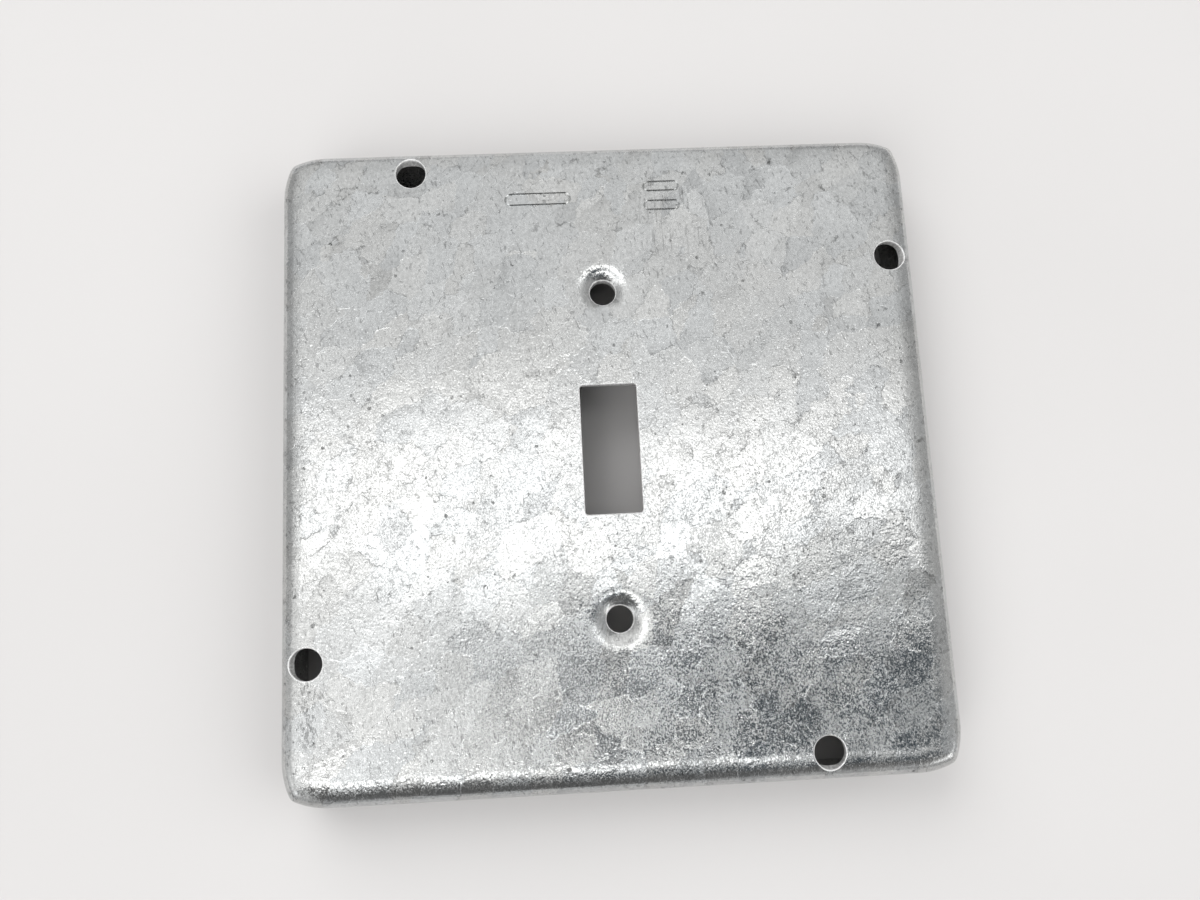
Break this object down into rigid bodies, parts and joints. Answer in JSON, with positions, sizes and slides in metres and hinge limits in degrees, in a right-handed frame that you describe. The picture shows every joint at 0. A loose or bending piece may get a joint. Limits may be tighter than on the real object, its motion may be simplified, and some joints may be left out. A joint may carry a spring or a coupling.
{
  "type": "raised electrical box cover",
  "caption": "Square raised sheet-steel cover for an electrical box, with a toggle-switch opening, pressed screw seats and pinwheel edge holes.",
  "frame": {"origin": "centre of the rim, on the plane that the cover's walls stand on", "axes": "+Z out of the face, +Y towards the end with the stamped outlines, +X to the right of someone who faces the cover"},
  "size_m": [0.119, 0.119, 0.0143],
  "materials": {
    "galvanised_steel": "spangled zinc, matte to satin"
  },
  "bodies": {
    "root": {"cover": "galvanised_steel"}
  },
  "joints": []
}
